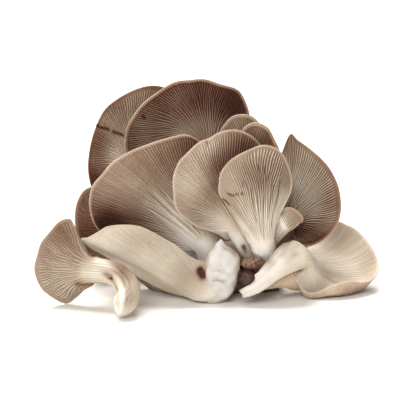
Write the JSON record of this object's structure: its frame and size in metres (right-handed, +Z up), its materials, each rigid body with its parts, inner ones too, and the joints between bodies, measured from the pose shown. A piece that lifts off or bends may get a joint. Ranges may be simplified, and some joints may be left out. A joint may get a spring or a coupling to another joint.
{
  "type": "oyster mushroom cluster",
  "caption": "Cluster of fan-shaped oyster mushrooms, gills facing front, on side stems from one torn base, with loose mushrooms lying against it.",
  "frame": {"origin": "on the surface it rests on, under the middle of the bounding box", "axes": "+Z up, the gills face -Y, +X to the right as seen from the gills"},
  "size_m": [0.1921, 0.1168, 0.1149],
  "materials": {
    "white_flesh": "matte, moist flesh",
    "cream_gills": "matte, moist flesh",
    "tan_gills": "matte, moist flesh",
    "brown_gills": "matte, moist flesh",
    "pale_gills": "matte, moist flesh",
    "dark_cap_skin": "matte, moist flesh"
  },
  "bodies": {
    "root": {"stem_base": "white_flesh", "mushroom_front": "cream_gills", "mushroom_centre": "cream_gills", "mushroom_large_left": "tan_gills", "mushroom_top": "brown_gills", "mushroom_back_left": "tan_gills", "mushroom_small_upper": "tan_gills", "mushroom_small_right": "tan_gills", "mushroom_right": "tan_gills", "mushroom_lying_right": "pale_gills", "mushroom_folded": "pale_gills", "mushroom_far_left": "cream_gills", "mushroom_hidden_left": "brown_gills", "young_cap_upper": "dark_cap_skin", "young_cap_lower": "dark_cap_skin"}
  },
  "joints": []
}
